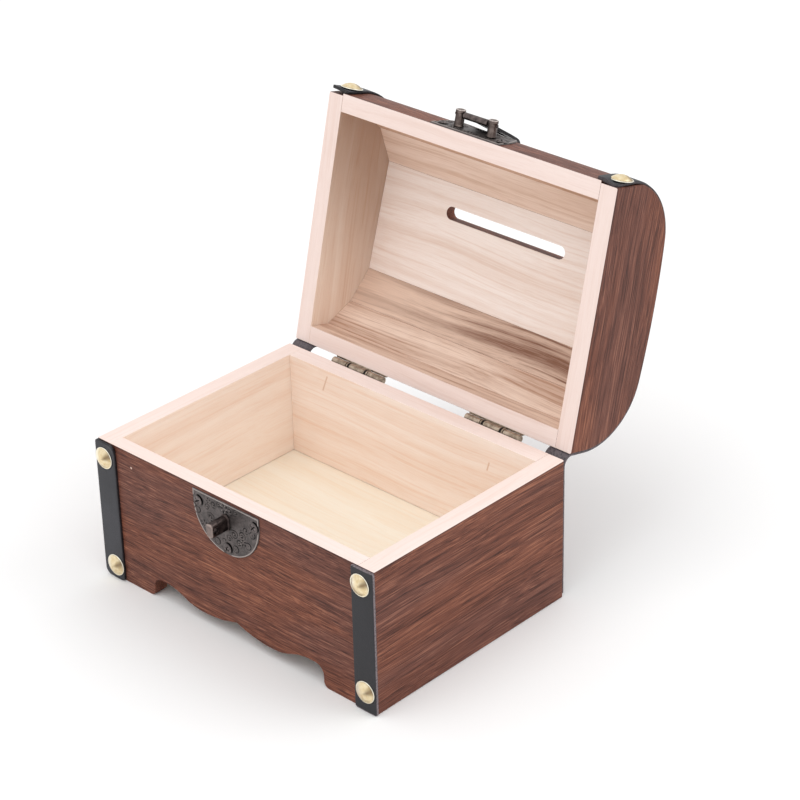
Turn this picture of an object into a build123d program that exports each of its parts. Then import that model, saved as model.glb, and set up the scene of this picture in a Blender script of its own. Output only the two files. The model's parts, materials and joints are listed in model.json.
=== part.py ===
from build123d import *
import math
import os

# A small wooden treasure chest with a domed lid, shown with its lid standing open.
# Millimetres. X runs along the width, the front faces -Y, and +Z is up.
# Every piece is drawn with the lid shut, and the lid's pieces are then swung open about the hinge.

# Box
chest_width = 150.0
chest_depth = 106.0
box_height = 62.5
end_board = 7.8
front_board = 6.4
back_board = 7.6
board_edge = 0.4

# Plywood floor, let into grooves in the four boards
floor_board = 3.0
floor_height = 14.0
groove_depth = 2.5
groove_play = 0.1

# Scalloped lower edge of the front panel, between its two feet
foot_reach = 47.1
foot_corner = 2.6
throat_corner = 4.4
throat_rise = 9.2
lobe_rise = 4.7
cusp_rise = 8.1
throat_place_share = 0.87
lobe_place_share = 0.40

# Lid: its outline is two upright sides, two shoulder arcs and one long crown arc
rim_gap = 0.3
lid_height = 38.5
lid_proud = 0.9
shoulder_radius = 28.0
crown_radius = 330.0
lid_board = 7.6
lid_angle = 103.9
back_joint_share = 0.27
front_joint_share = 0.322
# Inner corners of the lid's staves, as shares of its depth from the back and of its height
stave_corners_share = ((0.150, 0.584), (0.2765, 0.810), (0.712, 0.883), (0.851, 0.662))

# Coin slot through the top stave
slot_length = 63.0
slot_width = 5.4
slot_place_share = 0.60

# Leatherette straps: a wider one down each front corner of the box,
# and a narrower one from the lid's front over the dome and down the back
strap_width = 11.0
strap_overhang = 0.4
long_strap_width = 10.0
long_strap_inset = 0.6
strap_thickness = 1.2
strap_corner = 1.6
strap_edge = 0.3
fold_drop = 5.5
fold_rise = 4.0
fold_radius = 4.0
soft_gap = 0.3

# Brass dome tacks
tack_radius = 4.65
tack_rise = 2.1
tack_sides = 20
tack_rings = 4
nail_radius = 0.8
nail_length = 7.0
fastener_play = 0.05
# Tacks on the box: side, height as a share of the box's, drift as a share of the strap's width
tack_places_share = ((-1, 0.884, -0.046), (-1, 0.103, 0.115), (1, 0.885, -0.075), (1, 0.144, 0.017))
# Tacks on the lid: side, height as a share of the lid's, drift as a share of the strap's width
lid_tack_places_share = ((-1, 0.161, 0.08), (1, 0.187, 0.16))

# Half-round lock plates, one on the box and one on the lid
lock_centre = -1.8
plate_radius = 18.0
plate_straight = 4.7
plate_thickness = 0.7
plate_drop = 1.3
lid_plate_rise = 0.2
plate_screw_edge = 2.8

# Lock post on the box, with a hole for a padlock
post_width = 3.6
post_height = 6.1
post_length = 8.6
post_corner = 1.3
post_drop = 9.6
post_tip_edge = 0.4
post_flange = 0.5
post_flange_thickness = 0.5
post_shank_radius = 1.4
post_shank_length = 5.0
padlock_hole_radius = 1.3
padlock_hole_back = 2.0

# Two round posts on the lid, which carry the hasp's pin
stud_spacing = 17.0
stud_rise = 6.6
stud_radius = 1.85
stud_length = 6.7
stud_cap_radius = 2.15
stud_cap_height = 1.2
stud_cap_edge = 0.3
stud_foot_radius = 2.1
stud_foot_height = 0.6
stud_shank_radius = 1.0
stud_shank_length = 4.5
pin_height = 4.7
pin_radius = 0.62
pin_overhang = 0.6
pin_play = 0.05

# Hasp: a tongue rolled round the pin, with a slot that drops over the lock post
barrel_radius = 1.4
barrel_play = 0.15
tongue_inset = 0.7
tongue_thickness = 1.2
tongue_tip_width = 7.6
tongue_tip_corner = 2.4
tongue_end = 6.5
tongue_curl_length = 4.0
tongue_curl = 1.3
tongue_slot_play = 0.45
tongue_slot_end_play = 0.55
tongue_slot_corner = 0.8
folded_gap = 0.8
engaged_gap = 0.35

# Butt hinges on the back, each with three knuckles
hinge_inset = 38.2
hinge_length = 28.0
knuckle_middle = 12.4
knuckle_radius = 1.7
knuckle_play = 0.15
knuckle_gap = 0.4
leaf_height = 10.0
leaf_thickness = 0.8
leaf_corner = 1.0
hinge_back = 2.1
hinge_drop = 0.8
hinge_pin_radius = 0.75
leaf_screw_reach = 9.0
leaf_screw_rise = 6.2

# Screws: one size for the lock plates and one for the hinge leaves
lock_head_radius = 2.0
lock_head_rise = 0.6
lock_shank_radius = 0.9
lock_screw_length = 5.0
leaf_head_radius = 1.5
leaf_head_rise = 0.5
leaf_shank_radius = 0.7
leaf_screw_length = 5.5
head_top_share = 0.62

# Small fasteners are drawn with flat sides: this many round a shank, and round a screw's head
shank_sides = 8
head_sides = 12

# How far a cutter runs past what it cuts
overrun = 5.0

# Planes and lines worked out from the sizes above
half_width = chest_width / 2
inside_half = half_width - end_board
front_face = -chest_depth / 2
back_face = chest_depth / 2
front_inner = front_face + front_board
back_inner = back_face - back_board
lid_rim = box_height + rim_gap
lid_front_face = front_face - lid_proud
lid_depth = chest_depth + lid_proud
lid_middle = (lid_front_face + back_face) / 2
lid_top = lid_rim + lid_height
hinge_place = half_width - hinge_inset
plate_screw_circle = plate_radius - plate_screw_edge
strap_middle = half_width + strap_overhang - strap_width / 2
long_strap_outer = half_width - long_strap_inset
long_strap_middle = long_strap_outer - long_strap_width / 2

# Shoulder arcs meet the crown arc smoothly: their centres lie on the crown's radii
shoulder_reach = lid_depth / 2 - shoulder_radius
crown_centre = lid_top - crown_radius
shoulder_rise = math.sqrt((crown_radius - shoulder_radius) ** 2 - shoulder_reach ** 2)
shoulder_centre = crown_centre + shoulder_rise
shoulder_slope = math.atan2(shoulder_rise, shoulder_reach)

# Lid hinge
hinge_y = back_face + hinge_back
hinge_z = box_height - hinge_drop
hinge_line = Axis((0, hinge_y, hinge_z), (1, 0, 0))

# Lock
box_plate_face = front_face - plate_thickness
box_plate_top = box_height - plate_drop
lid_plate_face = lid_front_face - plate_thickness
lid_plate_bottom = lid_rim + lid_plate_rise
lock_post_z = box_height - post_drop
stud_z = lid_rim + stud_rise
hasp_y = lid_plate_face - pin_height
barrel_length = stud_spacing - 2 * (stud_cap_radius + barrel_play)
tongue_width = barrel_length - 2 * tongue_inset

# The tongue's slot lies over the post, and the tongue leans in until it nearly meets the flange
post_reach = stud_z - lock_post_z
flange_reach = post_reach + post_height / 2 + post_flange
lean_room = box_plate_face - post_flange_thickness - hasp_y - tongue_thickness / 2 - engaged_gap
engaged_lean = math.asin(lean_room / flange_reach)
slot_middle = post_reach / math.cos(engaged_lean)
tongue_slot_width = post_width + 2 * tongue_slot_play
tongue_slot_length = post_height + 2 * tongue_slot_end_play
tongue_length = slot_middle + tongue_slot_length / 2 + tongue_end

# Folded back, the tongue lies just clear of the lid's shoulder
shoulder_y = lid_middle - shoulder_reach
fold_reach = math.hypot(shoulder_y - hasp_y, shoulder_centre - stud_z)
fold_clear = shoulder_radius + plate_thickness + tongue_thickness / 2 + folded_gap
fold_slope = math.atan2(shoulder_centre - stud_z, shoulder_y - hasp_y)
folded_angle = 90 - math.degrees(fold_slope + math.asin(fold_clear / fold_reach))
hasp_travel = folded_angle + 180 + math.degrees(engaged_lean)


def block(low, high):
    """A box from its lowest corner to its highest corner."""
    size = [b - a for a, b in zip(low, high)]
    return Pos(*low) * Box(*size, align=(Align.MIN, Align.MIN, Align.MIN))


def bar_x(low_x, high_x, y, z, radius):
    """A round bar along X."""
    middle = Pos((low_x + high_x) / 2, y, z)
    return middle * Rot(0, 90, 0) * Cylinder(radius, high_x - low_x)


def stem(radius, low, high):
    """A round bar along Z, between two heights."""
    return Pos(0, 0, low) * Cylinder(radius, high - low, align=(Align.CENTER, Align.CENTER, Align.MIN))


def swung(shape):
    """A piece of the lid, turned from shut to open."""
    return shape.rotate(hinge_line, -lid_angle)


def swung_point(y, z):
    """A point of the lid's section, turned from shut to open."""
    turn = math.radians(lid_angle)
    back, up = y - hinge_y, z - hinge_z
    return (
        hinge_y + back * math.cos(turn) + up * math.sin(turn),
        hinge_z - back * math.sin(turn) + up * math.cos(turn))


def seat(x, y, z, outward):
    """A place where a fastener sits, with its own Z pointing out of the surface."""
    return Plane(origin=(x, y, z), x_dir=(1, 0, 0), z_dir=outward)


def dome(radius, rise):
    """A flat-bottomed dome with small flat facets, as a hammered one has."""
    ball = (radius ** 2 + rise ** 2) / (2 * rise)
    step = math.asin(radius / ball) / tack_rings
    bands = []
    for ring in range(tack_rings, 1, -1):
        wide, narrow = ball * math.sin(ring * step), ball * math.sin((ring - 1) * step)
        low, high = ball * math.cos(ring * step), ball * math.cos((ring - 1) * step)
        slope = math.atan2((wide - narrow) * math.cos(math.pi / tack_sides), high - low)
        band = extrude(RegularPolygon(wide, tack_sides), high - low, taper=math.degrees(slope))
        bands.append(Pos(0, 0, rise - ball + low) * band)
    return bands[0] + bands[1:]


def shank(radius, low, high):
    """A nail's or screw's shank along Z, between two heights."""
    return Pos(0, 0, low) * extrude(RegularPolygon(radius, shank_sides), high - low)


def screw(head_radius, head_rise, shank_radius, length):
    """A screw with a low, sloping round head."""
    slope = math.degrees(math.atan2(head_radius - head_top_share * head_radius, head_rise))
    head = extrude(RegularPolygon(head_radius, head_sides), head_rise, taper=slope)
    return head + shank(shank_radius, -length, 0)


def tack():
    """A brass dome on a nail."""
    return dome(tack_radius, tack_rise) + shank(nail_radius, -nail_length, 0)


def hole(place, radius, length):
    """A cutter for the hole that a fastener's shank sits in."""
    return place * shank(radius + fastener_play, -length - fastener_play, overrun)


def tack_seats(places_share, middle, width, height, base, face):
    """Where the tacks sit on one pair of straps."""
    seats = []
    for side, rise_share, drift_share in places_share:
        x = side * middle + drift_share * width
        seats.append(seat(x, face - strap_thickness, base + rise_share * height, (0, -1, 0)))
    return seats


def box_screw_seats():
    """Where the three screws of the box's lock plate sit."""
    middle = box_plate_top - plate_straight
    places = [(-plate_screw_circle, middle), (plate_screw_circle, middle), (0, middle - plate_screw_circle)]
    return [seat(lock_centre + x, box_plate_face, z, (0, -1, 0)) for x, z in places]


def lid_screw_seats():
    """Where the three screws of the lid's lock plate sit, the last of them on the shoulder."""
    middle = lid_plate_bottom + plate_straight
    sides = (-plate_screw_circle, plate_screw_circle)
    seats = [seat(lock_centre + x, lid_plate_face, middle, (0, -1, 0)) for x in sides]
    outer = shoulder_radius + plate_thickness
    tilt = math.asin((middle + plate_screw_circle - shoulder_centre) / outer)
    y = shoulder_y - outer * math.cos(tilt)
    z = shoulder_centre + outer * math.sin(tilt)
    return seats + [seat(lock_centre, y, z, (0, -math.cos(tilt), math.sin(tilt)))]


def leaf_screw_seats(turn):
    """Where the screws of both hinges sit, below the hinge line or above it."""
    z = hinge_z + turn * leaf_screw_rise
    seats = []
    for side in (-1, 1):
        for reach in (-leaf_screw_reach, leaf_screw_reach):
            seats.append(seat(side * hinge_place + reach, back_face + leaf_thickness, z, (0, 1, 0)))
    return seats


box_tacks = tack_seats(tack_places_share, strap_middle, strap_width, box_height, 0, front_face)
lid_tacks = tack_seats(
    lid_tack_places_share, long_strap_middle, long_strap_width, lid_height, lid_rim, lid_front_face)
post_seat = seat(lock_centre, box_plate_face, lock_post_z, (0, -1, 0))
stud_seats = [
    seat(lock_centre + side * stud_spacing / 2, lid_plate_face, stud_z, (0, -1, 0)) for side in (-1, 1)]


def holes(seats, radius, length):
    """Cutters for a group of like fasteners."""
    return [hole(place, radius, length) for place in seats]


def box_holes():
    """Every hole that the fasteners need in the box."""
    cutters = holes(box_tacks, nail_radius, nail_length)
    cutters += holes(box_screw_seats(), lock_shank_radius, lock_screw_length)
    cutters += holes([post_seat], post_shank_radius, post_shank_length)
    cutters += holes(leaf_screw_seats(-1), leaf_shank_radius, leaf_screw_length)
    return cutters


def lid_holes():
    """Every hole that the fasteners need in the lid, while it is shut."""
    cutters = holes(lid_tacks, nail_radius, nail_length)
    cutters += holes(lid_screw_seats(), lock_shank_radius, lock_screw_length)
    cutters += holes(stud_seats, stud_shank_radius, stud_shank_length)
    cutters += holes(leaf_screw_seats(1), leaf_shank_radius, leaf_screw_length)
    return cutters


def floor_groove():
    """The space that the floor board and its play take out of the four boards."""
    x = inside_half + groove_depth
    low = (-x, front_inner - groove_depth, floor_height)
    high = (x, back_inner + groove_depth, floor_height + floor_board + groove_play)
    return block(low, high)


def base_floor_panel():
    """The plywood floor, with its underside on the lower faces of the grooves."""
    reach = groove_depth - groove_play
    x = inside_half + reach
    low = (-x, front_inner - reach, floor_height)
    high = (x, back_inner + reach, floor_height + floor_board)
    return block(low, high)


def base_end(side):
    """An end board of the box, as deep as the box, with its outer edges eased."""
    board = block((inside_half, front_face, 0), (half_width, back_face, box_height))
    outer = board.faces().sort_by(Axis.X)[-1]
    board = chamfer(outer.edges(), board_edge)
    if side < 0:
        board = mirror(board, Plane.YZ)
    return board - floor_groove() - box_holes()


def base_front_panel():
    """The front board, with two feet and a scalloped lower edge between them."""
    throat = throat_place_share * foot_reach
    lobe = lobe_place_share * foot_reach
    between = (throat + lobe) / 2
    edges = []
    for side in (-1, 1):
        edges.append(Polyline(
            (0, box_height),
            (side * inside_half, box_height),
            (side * inside_half, 0),
            (side * foot_reach, 0),
            (side * foot_reach, throat_rise),
            (side * throat, throat_rise)))
        edges.append(Bezier(
            (side * throat, throat_rise),
            (side * between, throat_rise),
            (side * between, lobe_rise),
            (side * lobe, lobe_rise)))
        edges.append(TangentArc((side * lobe, lobe_rise), (0, cusp_rise), tangent=(-side, 0)))
    outline = make_face(edges)
    feet = [v for v in outline.vertices() if abs(abs(v.X) - foot_reach) < board_edge]
    outline = fillet([v for v in feet if v.Y > lobe_rise], throat_corner)
    feet = [v for v in outline.vertices() if abs(abs(v.X) - foot_reach) < board_edge and v.Y < board_edge]
    outline = fillet(feet, foot_corner)
    panel = Pos(0, front_face, 0) * extrude(Plane.XZ * outline, front_board, dir=(0, 1, 0))
    return panel - floor_groove() - box_holes()


def base_back_panel():
    """The back board, between the ends."""
    board = block((-inside_half, back_inner, 0), (inside_half, back_face, box_height))
    return board - floor_groove() - box_holes()


def strap_length(middle, width, low, high, face, outward):
    """A length of strap that lies flat on a face, on the right, with its ends rounded."""
    outline = RectangleRounded(width, high - low, strap_corner)
    place = Plane(origin=(middle, face, (low + high) / 2), x_dir=(1, 0, 0), z_dir=outward)
    return extrude(place * outline, strap_thickness)


def sided(shape, side):
    """A piece drawn on the right, put on its own side."""
    return shape if side > 0 else mirror(shape, Plane.YZ)


def base_front_strap(side):
    """The strap down a front corner of the box."""
    top = box_height - strap_edge
    strap = strap_length(strap_middle, strap_width, strap_edge, top, front_face, (0, -1, 0))
    return sided(strap, side) - holes(box_tacks, nail_radius, nail_length)


def base_back_strap(side):
    """The strap down a back corner of the box, square at the top, where the fold carries on."""
    top = box_height - fold_drop
    high = top + strap_corner + overrun
    strap = strap_length(long_strap_middle, long_strap_width, strap_edge, high, back_face, (0, 1, 0))
    keep = block((0, back_face, 0), (long_strap_outer, back_face + strap_thickness, top))
    return sided(strap & keep, side)


def fold_side(base_y, lid_y, radius):
    """One side of the fold's section, from the box's strap up and over to the lid's strap."""
    end = swung_point(lid_y, lid_rim + fold_rise - soft_gap)
    corner_z = end[1] - (end[0] - base_y) / math.tan(math.radians(lid_angle))
    return FilletPolyline((base_y, box_height - fold_drop), (base_y, corner_z), end, radius=radius)


def strap_fold(side):
    """The strap's soft fold behind the hinge line, just clear of the lid."""
    half = strap_thickness / 2
    inner = fold_side(back_face, back_face + soft_gap, fold_radius + half)
    behind = back_face + strap_thickness
    outer = fold_side(behind, behind + soft_gap, fold_radius - half)
    ends = [Line(inner @ 0, outer @ 0), Line(inner @ 1, outer @ 1)]
    section = Plane.YZ * make_face([inner, outer] + ends)
    start = long_strap_outer - long_strap_width
    fold = Pos(start, 0, 0) * extrude(section, long_strap_width, dir=(1, 0, 0))
    return sided(fold, side)


def half_round(flat, turn, face, depth):
    """A lock plate's outline as a prism: straight sides from a flat edge, then a half circle."""
    middle = flat + turn * plate_straight
    edges = [
        Polyline(
            (-plate_radius, middle),
            (-plate_radius, flat),
            (plate_radius, flat),
            (plate_radius, middle)),
        ThreePointArc(
            (plate_radius, middle),
            (0, middle + turn * plate_radius),
            (-plate_radius, middle))]
    return Pos(lock_centre, face, 0) * extrude(Plane.XZ * make_face(edges), depth, dir=(0, 1, 0))


def base_lock_plate():
    """The half-round plate on the box, round side down."""
    plate = half_round(box_plate_top, -1, box_plate_face, plate_thickness)
    return plate - box_holes()


def lock_post():
    """The flanged post that the hasp drops over, drilled across for a padlock."""
    post = extrude(RectangleRounded(post_width, post_height, post_corner), post_length)
    post = chamfer(post.faces().sort_by(Axis.Z)[-1].edges(), post_tip_edge)
    rim = 2 * post_flange
    flange = RectangleRounded(post_width + rim, post_height + rim, post_corner + post_flange)
    post = post + extrude(flange, post_flange_thickness) + shank(post_shank_radius, -post_shank_length, 0)
    across = bar_x(-post_width, post_width, 0, post_length - padlock_hole_back, padlock_hole_radius)
    return post_seat * (post - across)


def loaf(grow):
    """The shut lid's outline in Y and Z, grown outwards by a thickness."""
    shoulder = shoulder_radius + grow
    crown = crown_radius + grow
    bend_y = shoulder * math.cos(shoulder_slope / 2)
    bend_z = shoulder * math.sin(shoulder_slope / 2)
    meet_y = crown * math.cos(shoulder_slope)
    meet_z = crown * math.sin(shoulder_slope)
    edges = [
        Line((lid_front_face - grow, lid_rim), (back_face + grow, lid_rim)),
        ThreePointArc(
            (lid_middle - meet_y, crown_centre + meet_z),
            (lid_middle, crown_centre + crown),
            (lid_middle + meet_y, crown_centre + meet_z))]
    for side, face in ((-1, lid_front_face - grow), (1, back_face + grow)):
        edges.append(Line((face, lid_rim), (face, shoulder_centre)))
        edges.append(ThreePointArc(
            (face, shoulder_centre),
            (lid_middle + side * (shoulder_reach + bend_y), shoulder_centre + bend_z),
            (lid_middle + side * meet_y, crown_centre + meet_z)))
    return make_face(edges)


def along(section, low_x, high_x):
    """A section in Y and Z, drawn out along X."""
    return Pos(low_x, 0, 0) * extrude(Plane.YZ * section, high_x - low_x, dir=(1, 0, 0))


def lid_end(side):
    """An end board of the lid: the full outline, but cut back flush with the box in front."""
    board = along(loaf(0), inside_half, half_width)
    low = (inside_half, front_face, lid_rim)
    high = (half_width, back_face, lid_top)
    board = board & block(low, high)
    outer = board.faces().sort_by(Axis.X)[-1]
    board = chamfer(outer.edges(), board_edge)
    return swung(sided(board, side) - lid_holes())


def stave_corners():
    """The inner corners of the staves in Y and Z, from the back board over to the front board."""
    corners = [(back_face - lid_board, lid_rim + back_joint_share * lid_height)]
    for depth_share, rise_share in stave_corners_share:
        corners.append((back_face - depth_share * lid_depth, lid_rim + rise_share * lid_height))
    corners.append((lid_front_face + lid_board, lid_rim + front_joint_share * lid_height))
    return corners


def joint_ends(corners):
    """For each corner, a point well outside the lid on the line that halves the corner."""
    path = [(corners[0][0], lid_rim)] + corners + [(corners[-1][0], lid_rim)]
    ends = []
    for before, here, after in zip(path, path[1:], path[2:]):
        first = math.atan2(here[1] - before[1], here[0] - before[0])
        second = math.atan2(after[1] - here[1], after[0] - here[0])
        along_y = math.cos(first) + math.cos(second)
        along_z = math.sin(first) + math.sin(second)
        outward = math.atan2(along_z, along_y) - math.pi / 2
        reach = lid_board + shoulder_radius
        ends.append((here[0] + reach * math.cos(outward), here[1] + reach * math.sin(outward)))
    return ends


def lid_staves():
    """The seven long boards of the lid, from the back board over to the front board."""
    corners = stave_corners()
    ends = joint_ends(corners)
    far = lid_rim - overrun
    back = [corners[0], ends[0], (ends[0][0], far), (corners[0][0], far)]
    front = [corners[-1], ends[-1], (ends[-1][0], far), (corners[-1][0], far)]
    regions = [back]
    for index in range(len(corners) - 1):
        regions.append([corners[index], corners[index + 1], ends[index + 1], ends[index]])
    regions.append(front)
    whole = along(loaf(0), -inside_half, inside_half)
    faces = [make_face(Polyline(*region, close=True)) for region in regions]
    return [whole & along(face, -inside_half, inside_half) for face in faces]


def lid_boards():
    """The lid's long boards by name, with the coin slot and the fasteners' holes, swung open."""
    names = (
        "lid_back_board", "lid_back_lower_stave", "lid_back_upper_stave", "lid_top_stave",
        "lid_front_upper_stave", "lid_front_lower_stave", "lid_front_board")
    slot = Pos(0, back_face - slot_place_share * lid_depth, lid_rim) * extrude(
        SlotOverall(slot_length, slot_width), lid_height + overrun)
    drilled = {"lid_back_board", "lid_front_lower_stave", "lid_front_board"}
    boards = {}
    for name, stave in zip(names, lid_staves()):
        if name == "lid_top_stave":
            stave = stave - slot
        if name in drilled:
            stave = stave - lid_holes()
        boards[name] = swung(stave)
    return boards


def lid_strap(side):
    """The strap over the lid, from its front edge over the dome to the fold at the back."""
    inner = long_strap_outer - long_strap_width
    band = along(loaf(strap_thickness) - loaf(0), inner, long_strap_outer)
    low, high = lid_rim + strap_edge, lid_top + strap_thickness + strap_corner + overrun
    outline = RectangleRounded(long_strap_width, high - low, strap_corner)
    middle = (long_strap_middle, lid_middle, (low + high) / 2)
    place = Plane(origin=middle, x_dir=(1, 0, 0), z_dir=(0, -1, 0))
    front = extrude(place * outline, lid_depth / 2 + strap_thickness + overrun)
    back = block(
        (inner, lid_middle, lid_rim + fold_rise),
        (long_strap_outer, back_face + strap_thickness, lid_top + strap_thickness + overrun))
    strap = sided(band & (front + back), side)
    return swung(strap - holes(lid_tacks, nail_radius, nail_length))


def lid_lock_plate():
    """The half-round plate on the lid, round side up, bent over the shoulder."""
    sheet = along(loaf(plate_thickness) - loaf(0), lock_centre - plate_radius, lock_centre + plate_radius)
    depth = lid_middle - lid_plate_face
    plate = sheet & half_round(lid_plate_bottom, 1, lid_plate_face, depth)
    return swung(plate - lid_holes())


def hasp_post(place):
    """A round post with a foot and a cap, drilled across for the hasp's pin."""
    cap = stem(stud_cap_radius, stud_length - stud_cap_height, stud_length)
    cap = chamfer(cap.faces().sort_by(Axis.Z)[-1].edges(), stud_cap_edge)
    foot = Cone(
        stud_foot_radius, stud_radius, stud_foot_height, align=(Align.CENTER, Align.CENTER, Align.MIN))
    post = stem(stud_radius, 0, stud_length - stud_cap_height) + foot + cap
    post = post + shank(stud_shank_radius, -stud_shank_length, 0)
    across = bar_x(-stud_cap_radius, stud_cap_radius, 0, pin_height, pin_radius + pin_play)
    return swung(place * (post - across))


def hasp_pin():
    """The pin that runs through both posts and the hasp's barrel."""
    reach = stud_spacing / 2 + stud_radius + pin_overhang
    return swung(bar_x(lock_centre - reach, lock_centre + reach, hasp_y, stud_z, pin_radius))


def tongue_section():
    """The tongue's section along its length: flat, then curled to one side at the end."""
    half = tongue_thickness / 2
    turn = 2 * math.atan(tongue_curl / tongue_curl_length)
    bend = tongue_curl_length / math.sin(turn)
    start = tongue_length - tongue_curl_length

    def around(radius, angle):
        return (bend - radius * math.cos(angle), start + radius * math.sin(angle))

    edges = [
        Polyline((-half, start), (-half, 0), (half, 0), (half, start)),
        ThreePointArc((-half, start), around(bend + half, turn / 2), around(bend + half, turn)),
        Line(around(bend + half, turn), around(bend - half, turn)),
        ThreePointArc(around(bend - half, turn), around(bend - half, turn / 2), (half, start))]
    return make_face(edges)


def hasp():
    """The hasp, folded back over the lid."""
    half, tip = tongue_width / 2, tongue_tip_width / 2
    far = tongue_length + tongue_thickness
    right = [(half, 0), (half, slot_middle), (tip, far)]
    left = [(-x, z) for x, z in reversed(right)]
    outline = make_face(Polyline(*right, *left, close=True))
    outline = fillet(outline.vertices().group_by(Axis.Y)[-1], tongue_tip_corner)
    opening = Pos(0, slot_middle) * RectangleRounded(
        tongue_slot_width, tongue_slot_length, tongue_slot_corner)
    depth = tongue_curl + tongue_thickness + overrun
    plan = extrude(Plane.XZ * (outline - opening), depth, both=True)
    tongue = along(tongue_section(), -half, half) & plan
    barrel = bar_x(-barrel_length / 2, barrel_length / 2, 0, 0, barrel_radius)
    bore = bar_x(-barrel_length, barrel_length, 0, 0, pin_radius + pin_play)
    shape = tongue + barrel - bore
    return swung(Pos(lock_centre, hasp_y, stud_z) * Rot(-folded_angle, 0, 0) * shape)


def leaf_plate(tab, turn, near, notched):
    """A hinge leaf flat on the back, cut away in front of the other leaf's knuckles."""
    far = leaf_height
    half = hinge_length / 2
    clear = math.sqrt((knuckle_radius + knuckle_play) ** 2 - (hinge_back - leaf_thickness) ** 2)
    if notched:
        steps = [(tab, near), (tab, clear), (half, clear)]
    else:
        steps = [(tab, clear), (tab, near), (half, near)]
    right = [(x, turn * rise) for x, rise in steps + [(half, far)]]
    left = [(-x, z) for x, z in reversed(right)]
    outline = make_face(Polyline(*right, *left, close=True))
    corners = [v for v in outline.vertices() if abs(v.Y) > far - leaf_corner]
    outline = fillet(corners, leaf_corner)
    return Pos(0, back_face, hinge_z) * extrude(Plane.XZ * outline, leaf_thickness, dir=(0, 1, 0))


def hinge_base_leaf(side):
    """The leaf on the box, with the two outer knuckles."""
    tab, half = knuckle_middle / 2, hinge_length / 2
    leaf = leaf_plate(tab, -1, 0, False)
    for low, high in ((-half, -tab), (tab, half)):
        leaf = leaf + bar_x(low, high, hinge_y, hinge_z, knuckle_radius)
    leaf = leaf - bar_x(-hinge_length, hinge_length, hinge_y, hinge_z, hinge_pin_radius + pin_play)
    placed = Pos(side * hinge_place, 0, 0) * leaf
    return placed - holes(leaf_screw_seats(-1), leaf_shank_radius, leaf_screw_length)


def hinge_lid_leaf(side):
    """The leaf on the lid, with the middle knuckle, which clears the box as it turns."""
    tab = knuckle_middle / 2 - knuckle_gap
    leaf = leaf_plate(tab, 1, lid_rim - hinge_z, True)
    leaf = leaf + bar_x(-tab, tab, hinge_y, hinge_z, knuckle_radius)
    leaf = leaf + block(
        (-tab, hinge_y - knuckle_radius, hinge_z),
        (tab, hinge_y - knuckle_radius + leaf_thickness, lid_rim))
    leaf = leaf - bar_x(-hinge_length, hinge_length, hinge_y, hinge_z, hinge_pin_radius + pin_play)
    placed = Pos(side * hinge_place, 0, 0) * leaf
    return swung(placed - holes(leaf_screw_seats(1), leaf_shank_radius, leaf_screw_length))


def hinge_pin(side):
    """The pin through one hinge's three knuckles."""
    middle, half = side * hinge_place, hinge_length / 2
    return bar_x(middle - half, middle + half, hinge_y, hinge_z, hinge_pin_radius)


def group(shape, seats):
    """Like fasteners, one at each seat."""
    return Compound(children=[place * shape for place in seats])


def lock_screws(seats):
    """The three screws of one lock plate."""
    return group(screw(lock_head_radius, lock_head_rise, lock_shank_radius, lock_screw_length), seats)


def hinge_screws(seats):
    """The four screws of the leaves on one half of the chest."""
    return group(screw(leaf_head_radius, leaf_head_rise, leaf_shank_radius, leaf_screw_length), seats)


def base_pieces():
    """Every piece of the box."""
    pieces = {
        "base_front_panel": base_front_panel(),
        "base_back_panel": base_back_panel(),
        "base_floor_panel": base_floor_panel(),
        "base_lock_plate": base_lock_plate(),
        "lock_post": lock_post(),
        "base_strap_tacks": group(tack(), box_tacks),
        "base_lock_screws": lock_screws(box_screw_seats()),
        "base_hinge_screws": hinge_screws(leaf_screw_seats(-1))}
    for name, side in (("left", -1), ("right", 1)):
        pieces["base_" + name + "_end"] = base_end(side)
        pieces["base_front_strap_" + name] = base_front_strap(side)
        pieces["base_back_strap_" + name] = base_back_strap(side)
        pieces["strap_fold_" + name] = strap_fold(side)
        pieces["hinge_base_leaf_" + name] = hinge_base_leaf(side)
        pieces["hinge_pin_" + name] = hinge_pin(side)
    return pieces


def lid_pieces():
    """Every piece of the lid, swung open."""
    pieces = lid_boards()
    pieces["lid_lock_plate"] = lid_lock_plate()
    pieces["hasp_pin"] = hasp_pin()
    pieces["hasp"] = hasp()
    pieces["lid_strap_tacks"] = swung(group(tack(), lid_tacks))
    pieces["lid_lock_screws"] = swung(lock_screws(lid_screw_seats()))
    pieces["lid_hinge_screws"] = swung(hinge_screws(leaf_screw_seats(1)))
    for name, side, place in (("left", -1, stud_seats[0]), ("right", 1, stud_seats[1])):
        pieces["lid_" + name + "_end"] = lid_end(side)
        pieces["lid_strap_" + name] = lid_strap(side)
        pieces["hasp_post_" + name] = hasp_post(place)
        pieces["hinge_lid_leaf_" + name] = hinge_lid_leaf(side)
    return pieces


pieces = base_pieces() | lid_pieces()

# The origin lies on the floor, under the middle of the open chest
spans = [piece.bounding_box() for piece in pieces.values()]
middle_y = (min(span.min.Y for span in spans) + max(span.max.Y for span in spans)) / 2

os.makedirs("parts", exist_ok=True)
for name, piece in pieces.items():
    export_step(Pos(0, -middle_y, 0) * piece, os.path.join("parts", name + ".step"))

hasp_rest = swung_point(hasp_y, stud_z)
print("origin moved back by", round(middle_y, 3))
print("lid hinge at", round(hinge_y - middle_y, 3), round(hinge_z, 3), "range", lid_angle)
print("hasp hinge at", round(hasp_rest[0] - middle_y, 3), round(hasp_rest[1], 3))
print("hasp range", round(hasp_travel, 2))
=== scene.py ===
import bpy
import json
import math
from mathutils import Matrix, Vector


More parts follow.
